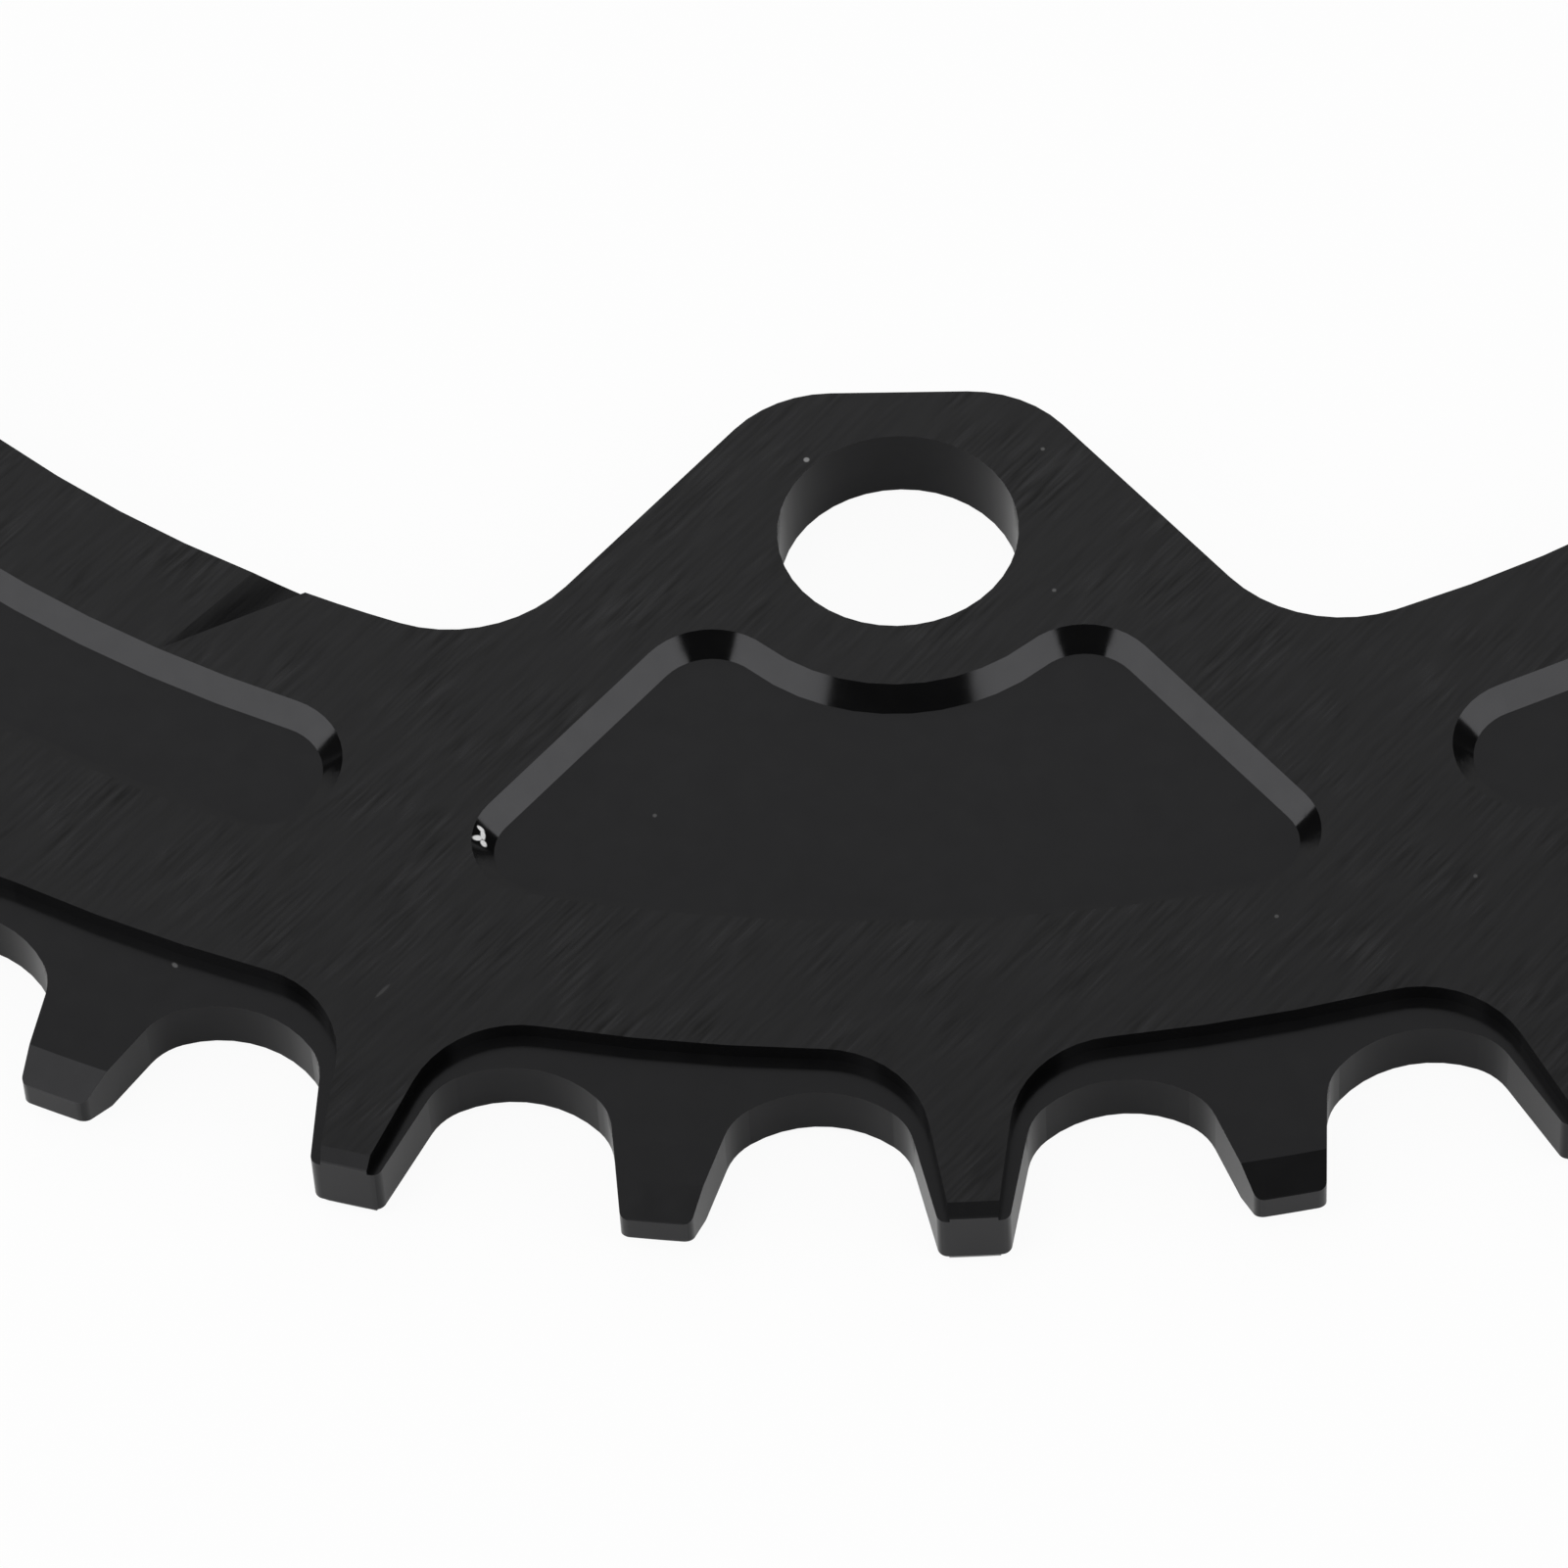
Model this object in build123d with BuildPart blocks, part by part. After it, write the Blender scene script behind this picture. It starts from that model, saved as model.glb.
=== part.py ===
from build123d import *
import math
import os

# Narrow-wide bicycle chainring, milled from one plate. Millimetres and degrees.
# The axis of the ring is Z, the back face is z = 0 and the pocketed front face is z = plate.
# The first of the bolt tabs lies on -Y.

# Teeth: the gap between two teeth is a seat arc, a tighter arc on each side and straight flanks
tooth_count = 42
chain_pitch = 12.7
seat_depth = 3.99
tooth_rise = 2.55
seat_radius = 5.0
seat_half_angle = 36.5
shoulder_radius = 2.5
flank_angle = 16.3
tip_corner = 0.45

# Plate, and the reliefs that thin every second tooth from both faces
plate = 4.0
relief_front = 0.78
relief_back = 0.75
relief_margin = 1.65
relief_bend = 4.65
relief_turn = 77.0

# Bevels at the tooth tips: length along the radius, then depth from the front and from the back face
wide_bevel = 0.45
wide_bevel_front = 0.58
wide_bevel_back = 0.75
narrow_bevel = 1.62
narrow_bevel_front = 0.55
narrow_bevel_back = 0.7

# Rim, counted inwards from the relief: a land, the ring of shallow pockets and the inner land
outer_land = 6.55
pocket_width = 6.85
inner_land = 5.4
pocket_depth = 0.9
pocket_wall_angle = 45.0
pocket_peak_corner = 3.4
pocket_outer_corner = 2.9
arm_width = 5.6

# Bolt tabs
tab_count = 4
bolt_circle = 104.0
bolt_hole = 10.4
hole_ease = 0.3
hole_wall = 3.15
tab_reach = 7.65
tab_half_width = 5.5
tab_flank_angle = 39.8
tab_corner = 5.4
valley_radius = 6.3
rib_width = 5.15

# Shallow dent across the inner land beside the first tab, by angle from that tab
dent_tip_angle = -28.5
dent_high_angle = -27.2
dent_low_angle = -24.7
dent_depth = 0.28
dent_margin = 0.15

# How far a cutting shape runs past the edge that it cuts, and how close a vertex must be to be picked
overrun = 1.0
tip_overrun = 0.2
pick_tolerance = 0.01

# Sizes that follow from those above
tooth_angle = 360.0 / tooth_count
pitch_radius = chain_pitch / 2.0 / math.sin(math.pi / tooth_count)
root_radius = pitch_radius - seat_depth
tip_radius = pitch_radius + tooth_rise
beyond_tip = tip_radius + overrun
relief_radius = root_radius - relief_margin
pocket_outer = relief_radius - outer_land
pocket_inner = pocket_outer - pocket_width
inner_radius = pocket_inner - inner_land
narrow_top = plate - relief_front
bolt_radius = bolt_circle / 2.0
tab_end = bolt_radius - tab_reach
tab_angle = 360.0 / tab_count
first_tab = -90.0
first_wide = first_tab + tooth_angle / 4.0
first_gap = first_wide + tooth_angle / 2.0
first_narrow = first_wide + tooth_angle

# A tab flank as a point and a direction, with the tab's own axis along +X
flank_foot = Vector(tab_end, tab_half_width)
flank_run = Vector(1, 0).rotate(Axis.Z, tab_flank_angle)
rib_step = flank_run.rotate(Axis.Z, -90) * rib_width


def on_radius(shape_vertices, radius):
    """The vertices of a sketch that lie on a circle about the ring's axis."""
    return shape_vertices.filter_by(lambda v: abs(math.hypot(v.X, v.Y) - radius) < pick_tolerance)


# One gap between two teeth, with the radius of the ring along +X, up to the rounded corners of the tips
with BuildSketch() as gap:
    with BuildLine():
        seat = JernArc((root_radius, 0), (0, 1), seat_radius, -seat_half_angle)
        shoulder = JernArc(seat @ 1, seat % 1, shoulder_radius, seat_half_angle + flank_angle - 90.0)
        inset = shoulder @ 1 + (shoulder % 1).rotate(Axis.Z, 90) * tip_corner
        along = inset.dot(shoulder % 1)
        reach = math.sqrt(along**2 + (tip_radius - tip_corner) ** 2 - inset.dot(inset)) - along
        flank = Line(shoulder @ 1, shoulder @ 1 + (shoulder % 1) * reach)
        centre = inset + (shoulder % 1) * reach
        corner_turn = 90.0 - flank_angle + math.degrees(math.atan2(centre.Y, centre.X))
        corner = JernArc(flank @ 1, flank % 1, tip_corner, corner_turn)
        mouth = Line(corner @ 1, (corner @ 1) * (beyond_tip / tip_radius))
        Line(mouth @ 1, ((mouth @ 1).X, 0))
        mirror(about=Plane.XZ)
    make_face()

# One tab, widening outwards until it is inside the rim
tab_root = inner_radius + overrun
tab_spread = flank_foot + flank_run * ((tab_root - tab_end) / flank_run.X)
with BuildSketch() as tab:
    with BuildLine():
        Polyline((tab_end, 0), flank_foot, tab_spread, (tab_root, 0))
        mirror(about=Plane.XZ)
    make_face()

# Plan of the plate: rim, tabs with rounded ends and valleys, bolt holes and tooth gaps
with BuildSketch() as plan:
    Circle(tip_radius)
    Circle(inner_radius, mode=Mode.SUBTRACT)
    with PolarLocations(0, tab_count, start_angle=first_tab):
        add(tab.sketch)
    fillet(on_radius(plan.vertices(), inner_radius), valley_radius)
    fillet(on_radius(plan.vertices(), flank_foot.length), tab_corner)
    with PolarLocations(bolt_radius, tab_count, start_angle=first_tab):
        Circle(bolt_hole / 2.0, mode=Mode.SUBTRACT)
    with PolarLocations(0, tooth_count, start_angle=first_gap):
        add(gap.sketch, mode=Mode.SUBTRACT)

# Pocket behind one bolt hole: between two ribs that follow the flanks, around the wall of the hole
rib_foot = flank_foot + rib_step
rib_apex = rib_foot - flank_run * (rib_foot.Y / flank_run.Y)
with BuildSketch() as tab_pocket:
    with BuildLine():
        Polyline(rib_apex, rib_apex + flank_run * beyond_tip, ((rib_apex + flank_run * beyond_tip).X, 0))
        mirror(about=Plane.XZ)
    make_face()
    Circle(pocket_outer, mode=Mode.INTERSECT)
    with Locations((bolt_radius, 0)):
        Circle(bolt_hole / 2.0 + hole_wall, mode=Mode.SUBTRACT)
    fillet(on_radius(tab_pocket.vertices(), pocket_outer), pocket_outer_corner)
    fillet(tab_pocket.vertices().group_by(Axis.X)[0], pocket_peak_corner)

# Round-ended pocket along the rim from tab to tab, at an arm's width from the pockets behind the holes
rim_middle = (pocket_inner + pocket_outer) / 2.0
arm_side = flank_run.rotate(Axis.Z, 90)
end_offset = arm_side.dot(rib_foot) + arm_width + pocket_width / 2.0
rim_pocket_start = tab_flank_angle + 90.0 - math.degrees(math.acos(end_offset / rim_middle))
with BuildSketch() as rim_pocket:
    rim_path = CenterArc((0, 0), rim_middle, rim_pocket_start, tab_angle - 2.0 * rim_pocket_start)
    SlotArc(rim_path, pocket_width)

# Relief of one narrow tooth, with its axis along +X: a concentric edge from gap to gap, then an
# arc round each gap and a straight run up the side of the wide tooth
with BuildSketch() as relief:
    with BuildLine():
        edge = CenterArc((0, 0), relief_radius, 0, tooth_angle / 2.0)
        bend = JernArc(edge @ 1, edge % 1, relief_bend, -relief_turn)
        side = Line(bend @ 1, bend @ 1 + (bend % 1) * (beyond_tip - (bend @ 1).length))
        Line(side @ 1, ((side @ 1).X, 0))
        mirror(about=Plane.XZ)
    make_face()

# Bevels of one tooth tip, turned about the ring's axis from gap to gap
def tip_cutter(length, front_z, front_depth, back_z, back_depth):
    """Cutter that bevels a tooth tip from its front and back faces, for a tooth on +X."""
    stretch = (length + tip_overrun) / length
    with BuildPart() as cutter:
        with BuildSketch(Plane.XZ.rotated((0, 0, -tooth_angle / 2.0))):
            for face_z, depth, outwards in ((front_z, -front_depth, 1.0), (back_z, back_depth, -1.0)):
                Polygon(
                    (tip_radius - length, face_z),
                    (tip_radius + tip_overrun, face_z + depth * stretch),
                    (tip_radius + tip_overrun, face_z + outwards * tip_overrun),
                    (tip_radius - length, face_z + outwards * tip_overrun),
                    align=None,
                )
        revolve(axis=Axis.Z, revolution_arc=tooth_angle)
    return cutter.part


wide_cutter = tip_cutter(wide_bevel, plate, wide_bevel_front, 0.0, wide_bevel_back)
narrow_cutter = tip_cutter(narrow_bevel, narrow_top, narrow_bevel_front, relief_back, narrow_bevel_back)

# Dent: a triangle in plan whose floor falls from its high side to its low side
dent_tip = Vector(pocket_inner - dent_margin, 0, plate).rotate(Axis.Z, first_tab + dent_tip_angle)
dent_high = Vector(inner_radius - dent_margin, 0, plate).rotate(Axis.Z, first_tab + dent_high_angle)
dent_low = Vector(inner_radius - dent_margin, 0, plate).rotate(Axis.Z, first_tab + dent_low_angle)
dent_floor = (dent_high - dent_tip).cross(dent_low - Vector(0, 0, dent_depth) - dent_tip)
with BuildPart() as dent:
    with BuildSketch(Plane.XY.offset(plate - dent_depth)):
        Polygon(*[(p.X, p.Y) for p in (dent_tip, dent_high, dent_low)], align=None)
    extrude(amount=2.0 * dent_depth)
    split(bisect_by=Plane(dent_tip, z_dir=dent_floor * math.copysign(1.0, dent_floor.Z)), keep=Keep.TOP)

# The chainring: plate, pockets, reliefs of the narrow teeth on both faces, tip bevels and dent
with BuildPart() as chainring:
    with BuildSketch():
        add(plan.sketch)
    extrude(amount=plate)
    with BuildSketch(Plane.XY.offset(plate)):
        with PolarLocations(0, tab_count, start_angle=first_tab):
            add(tab_pocket.sketch)
            add(rim_pocket.sketch)
    extrude(amount=-pocket_depth, taper=pocket_wall_angle, mode=Mode.SUBTRACT)
    for face_z, depth in ((plate, -relief_front), (0.0, relief_back)):
        with BuildSketch(Plane.XY.offset(face_z)):
            with PolarLocations(0, tooth_count // 2, start_angle=first_narrow):
                add(relief.sketch)
        extrude(amount=depth, mode=Mode.SUBTRACT)
    with PolarLocations(0, tooth_count // 2, start_angle=first_wide):
        add(wide_cutter, mode=Mode.SUBTRACT)
    with PolarLocations(0, tooth_count // 2, start_angle=first_narrow):
        add(narrow_cutter, mode=Mode.SUBTRACT)
    add(dent.part, mode=Mode.SUBTRACT)
    back_rims = chainring.edges().filter_by(GeomType.CIRCLE).filter_by(
        lambda e: abs(e.radius - bolt_hole / 2.0) < pick_tolerance and abs(e.center().Z) < pick_tolerance
    )
    chamfer(back_rims, hole_ease)

chainring.part.label = "chainring"
os.makedirs("parts", exist_ok=True)
export_step(chainring.part, "parts/chainring.step")
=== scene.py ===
# %% [markdown]
# # A black anodised chainring, seen close up
#
# A chainring is one flat plate of aluminium, milled on a machining centre: teeth round the rim, shallow
# pockets to save weight, and tabs that bolt to the crank. The plate is then brushed and anodised black.
# Its form is already exact in the CAD solid, so this lesson is about light and finish: a close-up camera,
# a small studio, and one metal with several surfaces.
# Everything is in metres, with the ring flat on the floor and its axis along +Z.

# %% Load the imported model
import math

import bpy
import numpy as np
from mathutils import Matrix, Vector


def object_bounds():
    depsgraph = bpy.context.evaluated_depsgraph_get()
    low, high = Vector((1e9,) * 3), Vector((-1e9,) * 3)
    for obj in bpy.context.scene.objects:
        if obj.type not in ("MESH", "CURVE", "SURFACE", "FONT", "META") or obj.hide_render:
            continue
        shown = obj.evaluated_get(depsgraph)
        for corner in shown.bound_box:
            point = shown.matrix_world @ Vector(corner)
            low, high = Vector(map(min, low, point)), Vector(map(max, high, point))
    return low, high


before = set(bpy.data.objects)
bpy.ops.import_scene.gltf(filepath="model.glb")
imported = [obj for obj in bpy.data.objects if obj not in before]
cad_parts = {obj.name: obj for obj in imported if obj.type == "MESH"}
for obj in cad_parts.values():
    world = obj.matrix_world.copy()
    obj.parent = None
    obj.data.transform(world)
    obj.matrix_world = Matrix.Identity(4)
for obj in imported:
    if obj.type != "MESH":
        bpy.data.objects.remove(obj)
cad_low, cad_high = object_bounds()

mm = 0.001
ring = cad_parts["chainring"]
plate_top = cad_high.z
ring_sides = [round(side / mm, 2) for side in cad_high - cad_low]
print("ring of", ring_sides, "mm,", len(ring.data.polygons), "faces")

# %% [markdown]
# ## The camera
#
# The picture is a close-up with a long lens, so the lines hardly converge. The camera could be placed by
# hand until the edges agree. Here it is worked out instead: an aim point on the floor, a distance, and
# three angles (how steeply it looks down, how far it stands to the side, how far it is tilted), fitted to
# the bolt hole and the teeth. The same fit gives the focal length, counted in pixels of the picture, and
# that times the width of the sensor over the width of the picture is the lens in millimetres.

# %% Camera from angles
image_pixels = 1601
focal_pixels = 9999
sensor = 36.0
nearest_seen = 0.01
aim = Vector((-4.918, -62.552, 0.0)) * mm
camera_distance = 417.734 * mm
look_down = math.radians(52.974)
stand_aside = math.radians(-3.580)
tilt = math.radians(3.612)


def camera_axes(down_angle, side_angle, roll):
    """Right, down and forward of a camera: forward points down by one angle and aside by the next, right is
    level, down is their cross product, and the roll then turns right and down about forward."""
    forward = Vector((math.sin(side_angle) * math.cos(down_angle),
                      math.cos(side_angle) * math.cos(down_angle),
                      -math.sin(down_angle)))
    level = Vector((math.cos(side_angle), -math.sin(side_angle), 0.0))
    below = forward.cross(level)
    right = math.cos(roll) * level + math.sin(roll) * below
    down = math.cos(roll) * below - math.sin(roll) * level
    return right, down, forward


right, down, forward = camera_axes(look_down, stand_aside, tilt)
camera_data = bpy.data.cameras.new("close_up")
camera_data.sensor_width = sensor
camera_data.lens = sensor * focal_pixels / image_pixels
camera_data.clip_start = nearest_seen
camera = bpy.data.objects.new("close_up", camera_data)
bpy.context.scene.collection.objects.link(camera)
camera.matrix_world = Matrix.Translation(aim - camera_distance * forward) @ Matrix(
    (right, -down, -forward)).transposed().to_4x4()
bpy.context.scene.camera = camera
print("lens", round(camera_data.lens, 1), "mm, camera at", [round(c / mm) for c in camera.location], "mm")

# %% [markdown]
# ## Nodes and colours
#
# Three helpers serve every material. One turns a colour, written as the sRGB hex value that a colour picker
# shows, into the linear values that the renderer works with. One adds a shader node, sets its values and
# links its inputs, so that a material reads as a list of steps. The last one starts an empty material.
# A Mix node has one pair of inputs for each kind of value, all with the same two names, so they are given
# by number: 2 and 3 are the two numbers that it mixes, and 6 and 7 the two colours.


# %% Colour and node helpers
def linear(hex_colour):
    """Linear RGBA of an sRGB hex colour: the toe is a straight line, the rest a power of 2.4."""
    srgb = np.array([int(hex_colour[i:i + 2], 16) for i in (1, 3, 5)]) / 255.0
    rgb = np.where(srgb <= 0.04045, srgb / 12.92, ((srgb + 0.055) / 1.055) ** 2.4)
    return (*rgb.tolist(), 1.0)


def add_node(tree, kind, settings=None, inputs=None):
    """One shader node. Settings are its own properties by name; inputs are values, or sockets to link, by the
    name or the number of the input."""
    node = tree.nodes.new(kind)
    for name, value in (settings or {}).items():
        setattr(node, name, value)
    for key, value in (inputs or {}).items():
        if isinstance(value, bpy.types.NodeSocket):
            tree.links.new(value, node.inputs[key])
        else:
            node.inputs[key].default_value = value
    return node


def new_material(name):
    """An empty node material, with its tree and its output node."""
    material = bpy.data.materials.new(name)
    material.use_nodes = True
    material.node_tree.nodes.clear()
    return material, material.node_tree, material.node_tree.nodes.new("ShaderNodeOutputMaterial")


print("a middle grey, #808080, is", round(linear("#808080")[0], 3), "of white in linear light")

# %% [markdown]
# ## The floor
#
# The ring lies on white paper, which studio light makes as bright as the picture can show. The floor is
# a matt white surface that takes the ring's shadow. For the camera, most of it is replaced by an even
# white, so that the paper doesn't need more light than the ring does. Reflections get a smaller share of
# that white: the walls of the holes then mirror the shaded paper beside them and come out darker.

# %% White floor
floor_radius = 8.0
corners = floor_radius * np.array([(-1, -1, 0), (1, -1, 0), (1, 1, 0), (-1, 1, 0)], float)
floor_mesh = bpy.data.meshes.new("floor")
floor_mesh.from_pydata(corners.tolist(), [], [(0, 1, 2, 3)])
floor = bpy.data.objects.new("floor", floor_mesh)
bpy.context.scene.collection.objects.link(floor)
print("floor", 2 * floor_radius, "m wide at z =", floor.location.z)

# %% White paper
white_seen = 0.94
white_mirrored = 0.05

paper, tree, output = new_material("matt white paper")
matt = add_node(tree, "ShaderNodeBsdfDiffuse", inputs={"Color": linear("#f0f0f0")})
even = add_node(tree, "ShaderNodeEmission", inputs={"Color": linear("#ffffff"), "Strength": 1.0})
path = add_node(tree, "ShaderNodeLightPath").outputs
in_mirror = add_node(tree, "ShaderNodeMath", {"operation": "MAXIMUM"},
                     {0: path["Is Glossy Ray"], 1: path["Is Transmission Ray"]})
mirror_share = add_node(tree, "ShaderNodeMath", {"operation": "MULTIPLY"},
                        {0: in_mirror.outputs[0], 1: white_mirrored})
even_share = add_node(tree, "ShaderNodeMath", {"operation": "MULTIPLY_ADD"},
                      {0: path["Is Camera Ray"], 1: white_seen, 2: mirror_share.outputs[0]})
mixed = add_node(tree, "ShaderNodeMixShader",
                 inputs={0: even_share.outputs[0], 1: matt.outputs[0], 2: even.outputs[0]})
tree.links.new(mixed.outputs[0], output.inputs["Surface"])
paper.cycles.emission_sampling = "NONE"
floor_mesh.materials.append(paper)
print("material:", paper.name, "with", len(tree.nodes), "nodes")

# %% [markdown]
# ## The lights
#
# Dark metal shows almost nothing but reflections, so the lights are placed by what each face mirrors. Seen
# from the camera, the flat faces mirror the air behind the ring at half height, the sloped walls that face
# left or right mirror the sides, and the walls that face the camera mirror the camera's own side. So there
# is a softbox on the left and on the right, a stack of five behind, and none in front at the camera's
# height. The upper two of the stack set the tone of the faces. The lower three get brighter upwards: the
# far walls of the pockets mirror them by way of the pocket floor, first at a grazing angle, where a mirror
# is strong, and then more steeply, and that way these walls keep the tone of the faces too.
#
# The long bevels of the narrow teeth mirror what hangs overhead, which fades from bright on the left to dim
# on the right, and the short bevels of the wide teeth mirror two dim cards below the camera. One more lamp
# above the camera is mirrored by nothing here, and lights the paper in front of the upright walls.

# %% Softboxes round the bolt tab
studio_centre = Vector((aim.x, aim.y, plate_top))
light_distance = 1.0


def softbox(name, azimuth, elevation, half_wide, half_high, brightness):
    """A rectangular lamp aimed at the bolt tab. Azimuth is counted from -Y towards +X, and the half angles
    say how much of the surroundings it covers. Its watts are brightness times pi times its area."""
    a, e = math.radians(azimuth), math.radians(elevation)
    towards = Vector((math.sin(a) * math.cos(e), -math.cos(a) * math.cos(e), math.sin(e)))
    lamp = bpy.data.lights.new(name, "AREA")
    lamp.shape = "RECTANGLE"
    lamp.size = 2.0 * light_distance * math.tan(math.radians(half_wide))
    lamp.size_y = 2.0 * light_distance * math.tan(math.radians(half_high))
    lamp.energy = brightness * math.pi * lamp.size * lamp.size_y
    box = bpy.data.objects.new(name, lamp)
    box.location = studio_centre + light_distance * towards
    box.rotation_mode = "QUATERNION"
    box.rotation_quaternion = (-towards).to_track_quat("-Z", "Y")
    box.visible_camera = False
    bpy.context.scene.collection.objects.link(box)
    print(name, round(lamp.size, 2), "by", round(lamp.size_y, 2), "m,", round(lamp.energy, 2), "W")


softbox("softbox_left", -70, 26, 29, 14, 2.3)
softbox("softbox_right", 70, 26, 29, 14, 2.3)
softbox("softbox_behind_lowest", 180, 6, 50, 5, 0.5)
softbox("softbox_behind_lower", 180, 17, 50, 6, 0.75)
softbox("softbox_behind_low", 180, 31.5, 50, 8.5, 1.05)
softbox("softbox_behind_middle", 180, 45.75, 45, 5.75, 0.68)
softbox("softbox_behind_high", 180, 55.5, 45, 4.0, 0.6)
softbox("softbox_above_left", 270, 67, 25, 12, 1.22)
softbox("softbox_above_middle", 270, 85, 25, 6, 0.44)
softbox("softbox_above_right", 90, 78, 25, 11, 0.14)
softbox("softbox_above_camera", 0, 64, 38, 9, 2.0)
softbox("card_below_camera", 12, 20, 29, 8, 0.21)
softbox("card_left_of_camera", -28, 20, 11, 8, 0.8)

# %% [markdown]
# ## The room
#
# A studio is never quite dark, so the world gives a little light from everywhere, and no wall of the ring
# turns fully black. The Standard view transform then shows colours as they are, with no film curve.

# %% Dim room, and plain colours
room_light = 0.04
world = bpy.data.worlds.new("dim_studio")
world.use_nodes = True
room = world.node_tree.nodes["Background"]
room.inputs["Color"].default_value = linear("#ffffff")
room.inputs["Strength"].default_value = room_light
bpy.context.scene.world = world
bpy.context.scene.view_settings.view_transform = "Standard"
print("room light", room_light, "of white")

# %% [markdown]
# ## Black anodised aluminium
#
# Anodising grows a hard layer of oxide on the metal, and a black dye fills its pores. The eye gets a dark,
# almost colourless metal with a soft shine. The two faces of the plate were brushed in one direction
# before that, so they are duller, a shade lighter and carry faint lines. The floors of the pockets and
# steps were milled with the end of a cutter and the walls with its side, which leaves the walls smoothest.
# All of it is one metal, so it is one material: a floor or a face is where the surface lies nearly flat, and
# it is brushed where it is also close to the front or the back of the plate.

# %% Where the metal is flat, and where it is brushed
flat_enough = 0.985
brushed_depth = 0.3 * mm

metal, tree, output = new_material("black anodised aluminium, brushed and milled")
place = add_node(tree, "ShaderNodeTexCoord").outputs["Object"]
height = add_node(tree, "ShaderNodeSeparateXYZ", inputs={"Vector": place}).outputs["Z"]
deep = add_node(tree, "ShaderNodeMath", {"operation": "COMPARE"},
                {0: height, 1: plate_top / 2, 2: plate_top / 2 - brushed_depth}).outputs[0]
normal = add_node(tree, "ShaderNodeNewGeometry").outputs["Normal"]
facing = add_node(tree, "ShaderNodeSeparateXYZ", inputs={"Vector": normal}).outputs["Z"]
facing = add_node(tree, "ShaderNodeMath", {"operation": "ABSOLUTE"}, {0: facing}).outputs[0]
flat = add_node(tree, "ShaderNodeMath", {"operation": "GREATER_THAN"},
                {0: facing, 1: flat_enough}).outputs[0]
brushed = add_node(tree, "ShaderNodeMath", {"operation": "SUBTRACT", "use_clamp": True},
                   {0: flat, 1: deep}).outputs[0]
print("brushed within", round(brushed_depth / mm, 2), "mm of a face, up to",
      round(math.degrees(math.acos(flat_enough)), 1), "degrees from flat")

# %% [markdown]
# ## Brush lines
#
# Real brushing leaves hairlines of a few hundredths of a millimetre, too fine for this picture. They are
# drawn as coarse as they need to be to show: noise that is stretched along the brushing into dashes some
# two millimetres long and a fifth of a millimetre wide. A coarser noise lets them come and go, as the
# pressure of the brush does. The dashes make the black a little lighter and darker, and a little duller.

# %% Brush lines on the faces
brush_angle = math.radians(50.4)
line_size = Vector((2.4, 0.2, 2.4)) * mm
blotch_size = 3.6 * mm

along_lines = add_node(tree, "ShaderNodeMapping", {"vector_type": "TEXTURE"},
                       {"Vector": place, "Rotation": (0, 0, brush_angle), "Scale": line_size})
lines = add_node(tree, "ShaderNodeTexNoise",
                 inputs={"Vector": along_lines.outputs[0], "Scale": 1.0, "Detail": 1.5})
blotches = add_node(tree, "ShaderNodeTexNoise",
                    inputs={"Vector": place, "Scale": 1.0 / blotch_size, "Detail": 2.0})
line_swing = add_node(tree, "ShaderNodeMapRange", inputs={
    "Value": lines.outputs[0], "From Min": 0.25, "From Max": 0.75, "To Min": -0.5, "To Max": 0.5})
where_lined = add_node(tree, "ShaderNodeMapRange", inputs={
    "Value": blotches.outputs[0], "From Min": 0.45, "From Max": 0.7, "To Min": 0.25, "To Max": 1.1})
line_tone = add_node(tree, "ShaderNodeMath", {"operation": "MULTIPLY_ADD", "use_clamp": True},
                     {0: line_swing.outputs[0], 1: where_lined.outputs[0], 2: 0.5}).outputs[0]
print("brush lines", round(line_size.y / mm, 2), "mm wide at", round(math.degrees(brush_angle), 1), "degrees")

# %% Tone of the brushed faces
brushed_dark, brushed_light = "#262626", "#3c3c3d"
brushed_smooth, brushed_dull = 0.23, 0.29

brushed_colour = add_node(tree, "ShaderNodeMix", {"data_type": "RGBA"},
                          {0: line_tone, 6: linear(brushed_dark), 7: linear(brushed_light)})
brushed_gloss = add_node(tree, "ShaderNodeMapRange",
                         inputs={"Value": line_tone, "To Min": brushed_smooth, "To Max": brushed_dull})
print("brushed faces from", brushed_dark, "to", brushed_light)

# %% [markdown]
# ## The dent
#
# Beside the tab, something has pressed a shallow dent across the inner land. Its slope is in the solid and
# mirrors the dark above the stack of softboxes. On a brushed slope that would be a faint shade with hard
# borders. Here the middle of the dent was rubbed smooth, so the shade is deepest there and fades outwards:
# the roughness grows with the distance from the middle, counted in the half axes of a long ellipsoid.

# %% The dent, rubbed smooth along its middle
dent_middle = Vector((-28.1, -55.6, 3.9)) * mm
dent_half_axes = Vector((4.6, 0.9, 1.0)) * mm
dent_turn = math.radians(40)
rubbed_smooth = 0.11

in_dent = add_node(tree, "ShaderNodeMapping", {"vector_type": "TEXTURE"}, {
    "Vector": place, "Location": dent_middle, "Rotation": (0, 0, dent_turn), "Scale": dent_half_axes})
from_middle = add_node(tree, "ShaderNodeVectorMath", {"operation": "LENGTH"}, {0: in_dent.outputs[0]})
face_gloss = add_node(tree, "ShaderNodeMapRange", inputs={
    "Value": from_middle.outputs["Value"], "From Min": 0.3, "From Max": 1.0,
    "To Min": rubbed_smooth, "To Max": brushed_gloss.outputs[0]})
print("dent rubbed smooth over", round(2 * dent_half_axes.x / mm, 1), "mm")

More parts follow.
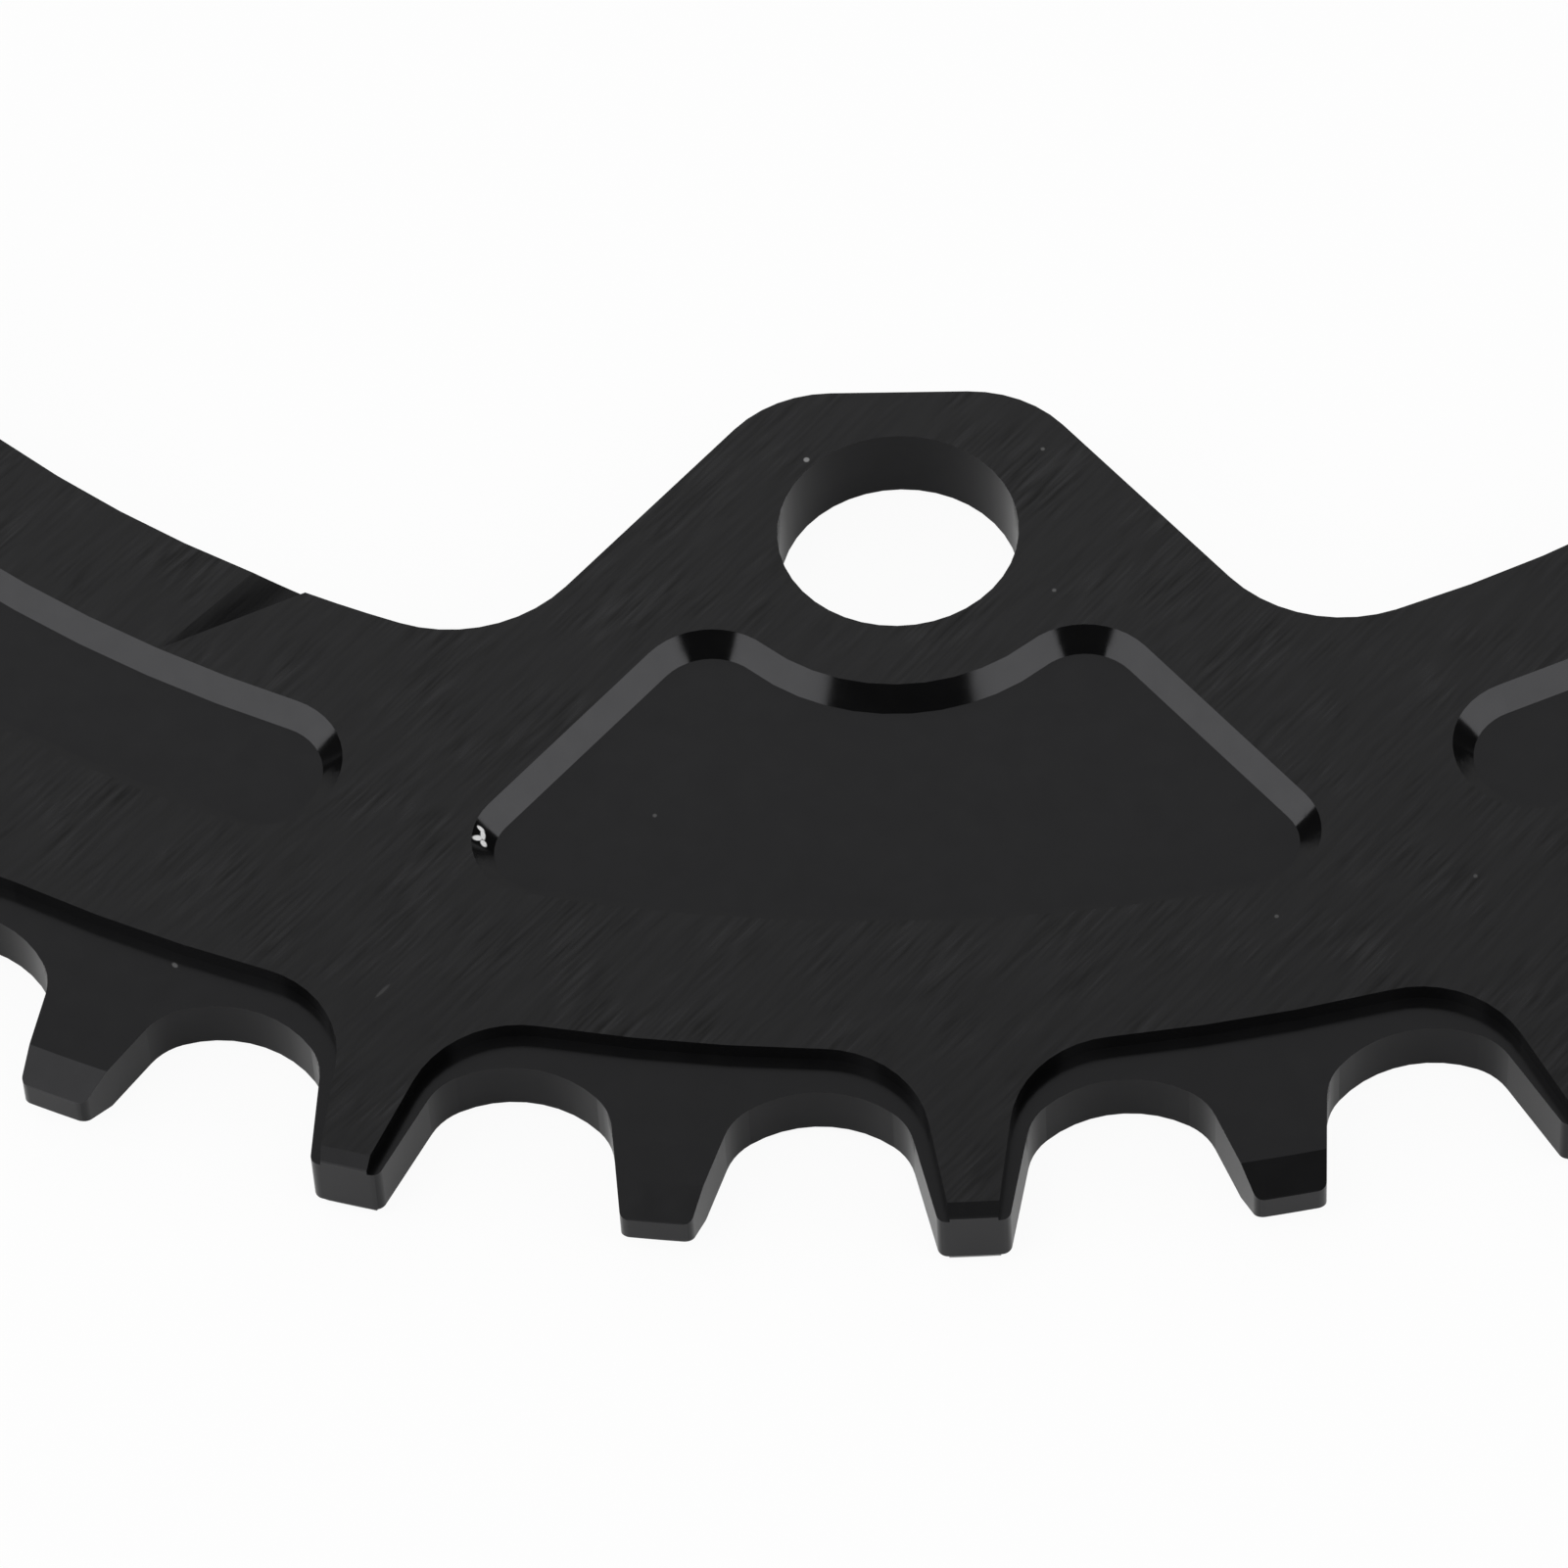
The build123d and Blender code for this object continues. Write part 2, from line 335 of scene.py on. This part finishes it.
# %% [markdown]
# ## Milled floors and walls, and tips painted lighter
#
# A milling cutter leaves a smooth surface with a very slight mottle, here of about a millimetre. The tips
# of the teeth, the outside rim of the plate, are painted a shade lighter. That is a painted reflection,
# standing in for the bright open paper in front of them, which they mirror. A point belongs to them when
# it is as far from the axis of the ring as its rim.

# %% Tone of the milled metal, and the painted reflection on the tips
mottle_size = 1.2 * mm
# The third tone is a painted reflection: the tips are coloured lighter to stand in for the bright paper they
# mirror.
milled_dark, milled_light, painted_tip_tone = "#2d2d2e", "#333334", "#3b3b3c"
tip_margin = 0.02 * mm
tip_radius = (cad_high.x - cad_low.x) / 2 - tip_margin

mottle = add_node(tree, "ShaderNodeTexNoise",
                  inputs={"Vector": place, "Scale": 1.0 / mottle_size, "Detail": 3.0})
milled_colour = add_node(tree, "ShaderNodeMix", {"data_type": "RGBA"},
                         {0: mottle.outputs[0], 6: linear(milled_dark), 7: linear(milled_light)})
in_plan = add_node(tree, "ShaderNodeVectorMath", {"operation": "MULTIPLY"}, {0: place, 1: (1, 1, 0)})
from_axis = add_node(tree, "ShaderNodeVectorMath", {"operation": "LENGTH"}, {0: in_plan.outputs[0]})
# Mask of the tips that get the painted reflection.
lightened = add_node(tree, "ShaderNodeMath", {"operation": "GREATER_THAN"},
                  {0: from_axis.outputs["Value"], 1: tip_radius})
cut_colour = add_node(tree, "ShaderNodeMix", {"data_type": "RGBA"},
                      {0: lightened.outputs[0], 6: milled_colour.outputs[2], 7: linear(painted_tip_tone)})
print("tips turned beyond", round(tip_radius / mm, 2), "mm from the axis")

# %% Shine of the milled metal
wall_smooth, wall_dull = 0.11, 0.15
floor_duller = 0.08

wall_gloss = add_node(tree, "ShaderNodeMapRange", inputs={
    "Value": mottle.outputs[0], "From Min": 0.3, "From Max": 0.7, "To Min": wall_smooth, "To Max": wall_dull})
cut_gloss = add_node(tree, "ShaderNodeMath", {"operation": "MULTIPLY_ADD"},
                     {0: flat, 1: floor_duller, 2: wall_gloss.outputs[0]})
print("roughness of walls from", wall_smooth, "to", wall_dull, "and of floors", floor_duller, "more")

# %% [markdown]
# ## Brushed and cut metal together
#
# The two finishes meet at the edges of the plate, so one mask chooses between them for the colour and for
# the roughness. The brush lines are also a very low relief, far below what an outline would show, so here
# a bump is enough: it makes the lines glint a little.

# %% Brushed and cut metal together
line_height = 0.0015 * mm

black_colour = add_node(tree, "ShaderNodeMix", {"data_type": "RGBA"},
                        {0: brushed, 6: cut_colour.outputs[2], 7: brushed_colour.outputs[2]})
black_gloss = add_node(tree, "ShaderNodeMix", {"data_type": "FLOAT"},
                       {0: brushed, 2: cut_gloss.outputs[0], 3: face_gloss.outputs[0]})
scratch = add_node(tree, "ShaderNodeMath", {"operation": "MULTIPLY"}, {0: lines.outputs[0], 1: brushed})
bump = add_node(tree, "ShaderNodeBump",
                inputs={"Strength": 1.0, "Distance": line_height, "Height": scratch.outputs[0]})
print("brush lines", round(line_height / mm, 4), "mm deep")

# %% [markdown]
# ## Nicks down to the bare metal
#
# The black layer is only hundredths of a millimetre thick. A few specks have broken out of it, and one
# corner of a pocket has a hooked chip, where the broken white oxide and the bare metal shine. Each nick is
# an ellipsoid in space: a point of the surface belongs to it where its distance from the centre, measured
# in the ellipsoid's own half axes, is less than one, with a slightly soft edge. The fine specks are shallow
# and show only a share of the bare metal. The last four ellipsoids make up the chip.

# %% Nicks
speck = (0.095, 0.095, 0.095)
nicks = [
    # place in mm, turn about Z in degrees, half axes in mm, share of bare metal
    ((-3.97, -48.04, 4.00), 0, (0.13, 0.13, 0.13), 0.28),
    ((6.24, -47.63, 4.00), 0, speck, 0.1),
    ((6.70, -55.39, 4.00), 0, speck, 0.1),
    ((-10.21, -66.46, 3.10), 0, speck, 0.08),
    ((-30.13, -74.03, 3.22), -50, (0.16, 0.10, 0.10), 0.14),
    ((15.88, -72.79, 4.00), 0, speck, 0.08),
    ((24.20, -70.84, 4.00), 0, speck, 0.07),
    ((-21.30, -76.05, 4.00), 50, (0.45, 0.08, 0.10), 0.035),
    ((-17.49, -67.54, 3.75), -20, (0.22, 0.10, 0.22), 1.0),
    ((-17.40, -67.76, 3.62), 108, (0.28, 0.13, 0.15), 1.0),
    ((-17.62, -68.03, 3.77), 35, (0.33, 0.12, 0.30), 1.0),
    ((-17.38, -68.14, 3.52), 0, (0.20, 0.17, 0.19), 1.0),
]
fully_inside, fully_outside = 0.75, 1.15
nicked = None
for centre, turn, half_axes, share in nicks:
    inside = add_node(tree, "ShaderNodeMapping", {"vector_type": "TEXTURE"}, {
        "Vector": place, "Location": Vector(centre) * mm, "Rotation": (0, 0, math.radians(turn)),
        "Scale": Vector(half_axes) * mm})
    reach = add_node(tree, "ShaderNodeVectorMath", {"operation": "LENGTH"}, {0: inside.outputs[0]})
    bare = add_node(tree, "ShaderNodeMapRange", inputs={
        "Value": reach.outputs["Value"], "From Min": fully_inside, "From Max": fully_outside,
        "To Min": share, "To Max": 0.0})
    if nicked is not None:
        bare = add_node(tree, "ShaderNodeMath", {"operation": "MAXIMUM"}, {0: nicked, 1: bare.outputs[0]})
    nicked = bare.outputs[0]
print(len(nicks), "nicks, the longest", 2 * max(max(half_axes) for _, _, half_axes, _ in nicks), "mm")

# %% [markdown]
# ## The whole metal
#
# Last, the nicks are laid over the black. Broken oxide is white and scatters light like chalk, so where a
# nick is, the metal turns pale, duller and hardly metallic. The dyed layer itself is nearly all metal to
# the eye. One shader takes it all, and the one material goes on the ring.

# %% The whole metal
bare_tone, bare_dull = "#f6f6f6", 0.5
black_metallic, bare_metallic = 0.9, 0.1

colour = add_node(tree, "ShaderNodeMix", {"data_type": "RGBA"},
                  {0: nicked, 6: black_colour.outputs[2], 7: linear(bare_tone)})
gloss = add_node(tree, "ShaderNodeMix", {"data_type": "FLOAT"},
                 {0: nicked, 2: black_gloss.outputs[0], 3: bare_dull})
metallic = add_node(tree, "ShaderNodeMapRange",
                    inputs={"Value": nicked, "To Min": black_metallic, "To Max": bare_metallic})
shader = add_node(tree, "ShaderNodeBsdfPrincipled", inputs={
    "Base Color": colour.outputs[2], "Roughness": gloss.outputs[0], "Metallic": metallic.outputs[0],
    "Normal": bump.outputs[0]})
tree.links.new(shader.outputs[0], output.inputs["Surface"])
ring.data.materials.clear()
ring.data.materials.append(metal)
print("material:", metal.name, "with", len(tree.nodes), "nodes")
